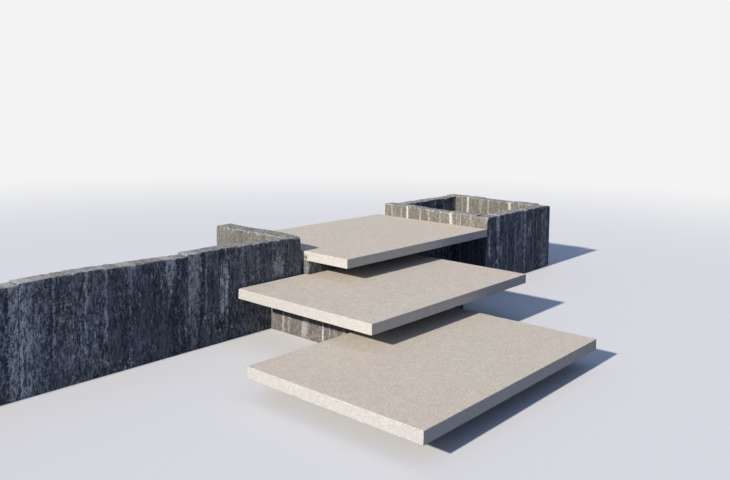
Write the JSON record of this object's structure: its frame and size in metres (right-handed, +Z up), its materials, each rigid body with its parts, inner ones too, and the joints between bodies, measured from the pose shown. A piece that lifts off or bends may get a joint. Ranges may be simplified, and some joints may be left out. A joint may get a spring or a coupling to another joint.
{
  "type": "outdoor stone steps",
  "caption": "Outdoor steps of wide pale stone slabs that overhang dark upright stones, with a low retaining wall on the left and an open stone planter beside the top slab.",
  "frame": {"origin": "on the ground, under the middle of the outer box", "axes": "+X along the slabs, from the retaining wall towards the planter; +Y from the lowest front edge back towards the terrace; +Z up"},
  "size_m": [5.899, 2.413, 0.534],
  "materials": {
    "pale_stone": "matte",
    "dark_stone": "matte"
  },
  "bodies": {
    "root": {"slab_low": "pale_stone", "slab_middle": "pale_stone", "slab_top": "pale_stone", "low_plinth_front": "dark_stone", "low_plinth_back": "dark_stone", "low_plinth_left": "dark_stone", "low_plinth_right": "dark_stone", "middle_plinth_front": "dark_stone", "middle_plinth_left": "dark_stone", "middle_plinth_right": "dark_stone", "top_riser": "dark_stone", "top_front_support": "dark_stone", "top_side_support": "dark_stone", "top_rear_support_left": "dark_stone", "top_rear_support_right": "dark_stone", "return_wall": "dark_stone", "wall_panel_1": "dark_stone", "wall_panel_2": "dark_stone", "wall_panel_3": "dark_stone", "wall_panel_4": "dark_stone", "planter_left_front": "dark_stone", "planter_left_rear": "dark_stone", "planter_front_left": "dark_stone", "planter_front_right": "dark_stone", "planter_right_front": "dark_stone", "planter_right_rear": "dark_stone", "planter_back_left": "dark_stone", "planter_back_right": "dark_stone"}
  },
  "joints": []
}
